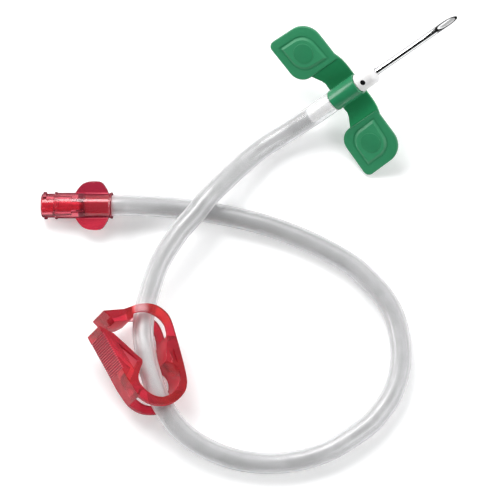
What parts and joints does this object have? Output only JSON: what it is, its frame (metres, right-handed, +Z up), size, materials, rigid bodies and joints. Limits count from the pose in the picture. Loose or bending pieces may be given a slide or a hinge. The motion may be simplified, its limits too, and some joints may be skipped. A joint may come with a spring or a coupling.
{
  "type": "dialysis fistula needle",
  "caption": "Winged needle set for dialysis access: steel cannula in a hub with turning finger wings, clear hose, pinch clamp and luer connector.",
  "frame": {"origin": "on the table, under the centre of the box round the cannula, hub and wings as they lie", "axes": "+X is the way the cannula heads over the table, +Z is up"},
  "size_m": [0.1388, 0.1197, 0.0396],
  "materials": {
    "steel": "bright drawn stainless steel",
    "hub_white": "smooth opaque white",
    "wing_green": "soft satin moulding",
    "hose_clear": "clear flexible tube",
    "clamp_red": "translucent red",
    "luer_red": "translucent dark red"
  },
  "bodies": {
    "line": {"hub": "hub_white", "cannula": "steel", "hose": "hose_clear", "pinch_clamp": "clamp_red", "luer_connector": "luer_red"},
    "wings": {"wings": "wing_green"}
  },
  "joints": [
    {"name": "wing_turn", "type": "hinge", "parent": "line", "child": "wings", "pos_m": [-0.0109, -0.00065, 0.016], "axis": [0.832, 0, 0.5548], "continuous": true}
  ]
}
